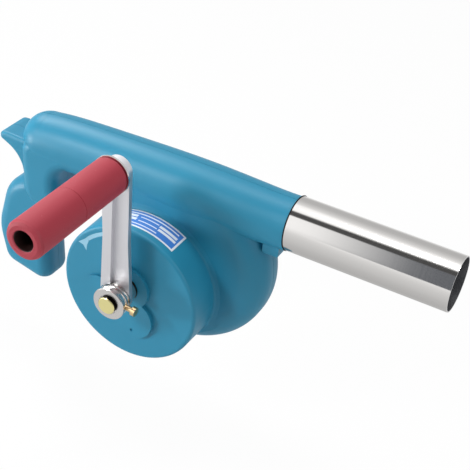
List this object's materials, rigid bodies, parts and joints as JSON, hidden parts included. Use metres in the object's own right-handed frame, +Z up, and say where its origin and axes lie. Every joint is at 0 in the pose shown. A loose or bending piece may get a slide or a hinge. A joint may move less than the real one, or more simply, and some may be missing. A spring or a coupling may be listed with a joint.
{
  "type": "hand crank forge blower",
  "caption": "Pistol-grip hand crank blower: a geared crank on a round drum spins a centrifugal fan that blows through a straight metal outlet tube.",
  "frame": {"origin": "middle of the pistol grip, on the joint plane of the two housing shells, where a hand holds the blower", "axes": "+X from the grip towards the outlet tube's mouth, -Y towards the crank side, +Y towards the air inlet side, +Z up"},
  "size_m": [0.2966, 0.1498, 0.147],
  "materials": {
    "blue_plastic": "satin moulded, fine sheen",
    "stainless": "polished rolled tube",
    "brass_bush": "turned",
    "bright_steel": "turned, bright",
    "black_screw": "black oxide",
    "zinc_steel": "pale yellow zinc",
    "gear_nylon": "natural nylon",
    "spring_steel": "phosphated",
    "cast_aluminium": "die cast, bright",
    "red_plastic": "satin moulded",
    "black_plastic": "moulded"
  },
  "bodies": {
    "housing": {"front_shell": "blue_plastic", "rear_shell": "blue_plastic", "gear_cover": "blue_plastic", "outlet_tube": "stainless", "shaft_bush": "brass_bush", "first_idler_pin": "bright_steel", "second_idler_pin": "bright_steel", "third_idler_pin": "bright_steel", "fan_bush_front": "brass_bush", "fan_bush_rear": "brass_bush", "shell_screws": "black_screw", "cover_screws": "black_screw"},
    "crank": {"crank_shaft": "zinc_steel", "drive_gear": "gear_nylon", "drive_gear_clip": "spring_steel", "crank_arm": "cast_aluminium", "crank_hub": "bright_steel", "hub_set_screw": "zinc_steel", "handle_spindle": "zinc_steel", "spindle_washer": "bright_steel"},
    "handle": {"crank_handle": "red_plastic"},
    "first_idler": {"first_idler_gear": "gear_nylon"},
    "second_idler": {"second_idler_gear": "gear_nylon"},
    "third_idler": {"third_idler_gear": "gear_nylon"},
    "fan": {"fan_shaft": "bright_steel", "fan_pinion": "gear_nylon", "impeller": "black_plastic", "impeller_clip": "spring_steel"}
  },
  "joints": [
    {"name": "crank_turn", "type": "hinge", "parent": "housing", "child": "crank", "pos_m": [0.098, -0.04, 0.0095], "axis": [0, 1, 0], "continuous": true},
    {"name": "handle_spin", "type": "hinge", "parent": "crank", "child": "handle", "pos_m": [0.0957, -0.095, 0.0937], "axis": [0, 1, 0], "continuous": true},
    {"name": "first_idler_turn", "type": "hinge", "parent": "housing", "child": "first_idler", "pos_m": [0.10258, -0.025, -0.01151], "axis": [0, 1, 0], "continuous": true},
    {"name": "second_idler_turn", "type": "hinge", "parent": "housing", "child": "second_idler", "pos_m": [0.07831, -0.025, 0.00033], "axis": [0, 1, 0], "continuous": true},
    {"name": "third_idler_turn", "type": "hinge", "parent": "housing", "child": "third_idler", "pos_m": [0.09394, -0.019, 0.02594], "axis": [0, 1, 0], "continuous": true},
    {"name": "fan_turn", "type": "hinge", "parent": "housing", "child": "fan", "pos_m": [0.1115, 0, 0.022], "axis": [0, 1, 0], "continuous": true}
  ],
  "couplings": [
    {"joint": "first_idler_turn", "follows": "crank_turn", "ratio": -2.3077},
    {"joint": "second_idler_turn", "follows": "crank_turn", "ratio": 6.5934},
    {"joint": "third_idler_turn", "follows": "crank_turn", "ratio": -13.187},
    {"joint": "fan_turn", "follows": "crank_turn", "ratio": 16.484}
  ]
}
